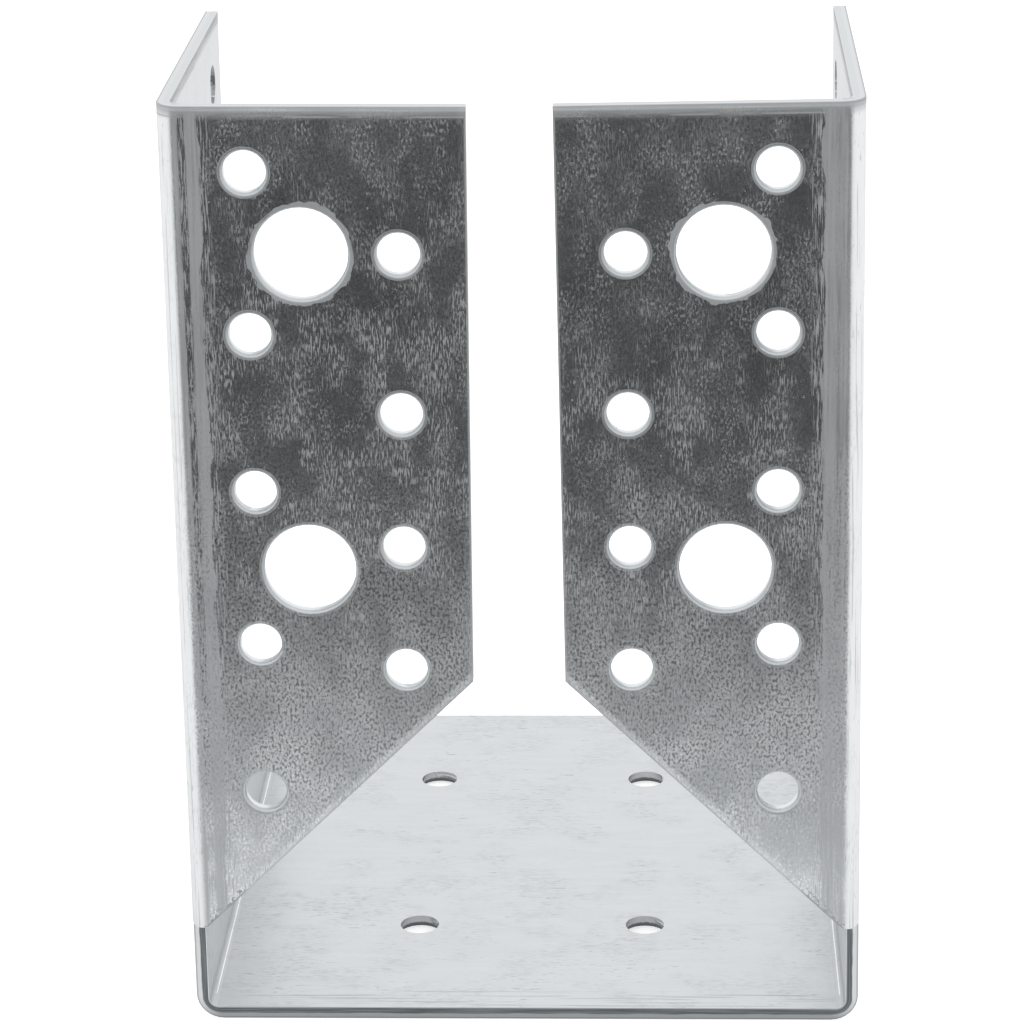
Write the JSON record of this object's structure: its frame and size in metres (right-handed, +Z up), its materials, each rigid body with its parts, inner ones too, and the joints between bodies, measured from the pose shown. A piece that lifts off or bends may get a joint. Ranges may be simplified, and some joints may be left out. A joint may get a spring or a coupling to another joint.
{
  "type": "joist hanger",
  "caption": "Galvanised steel joist hanger folded from one punched sheet, with a seat, two tapered side plates and header flanges that face each other across the front.",
  "frame": {"origin": "middle of the footprint, on the seat's underside", "axes": "+Z up the side plates, -Y out of the flanges' front faces towards the header, +X across the joist's width"},
  "size_m": [0.084, 0.095, 0.12],
  "materials": {
    "zinc_coated_sheet": "hot-dip galvanised, semi-matt, faintly streaked"
  },
  "bodies": {
    "root": {"joist_hanger": "zinc_coated_sheet"}
  },
  "joints": []
}
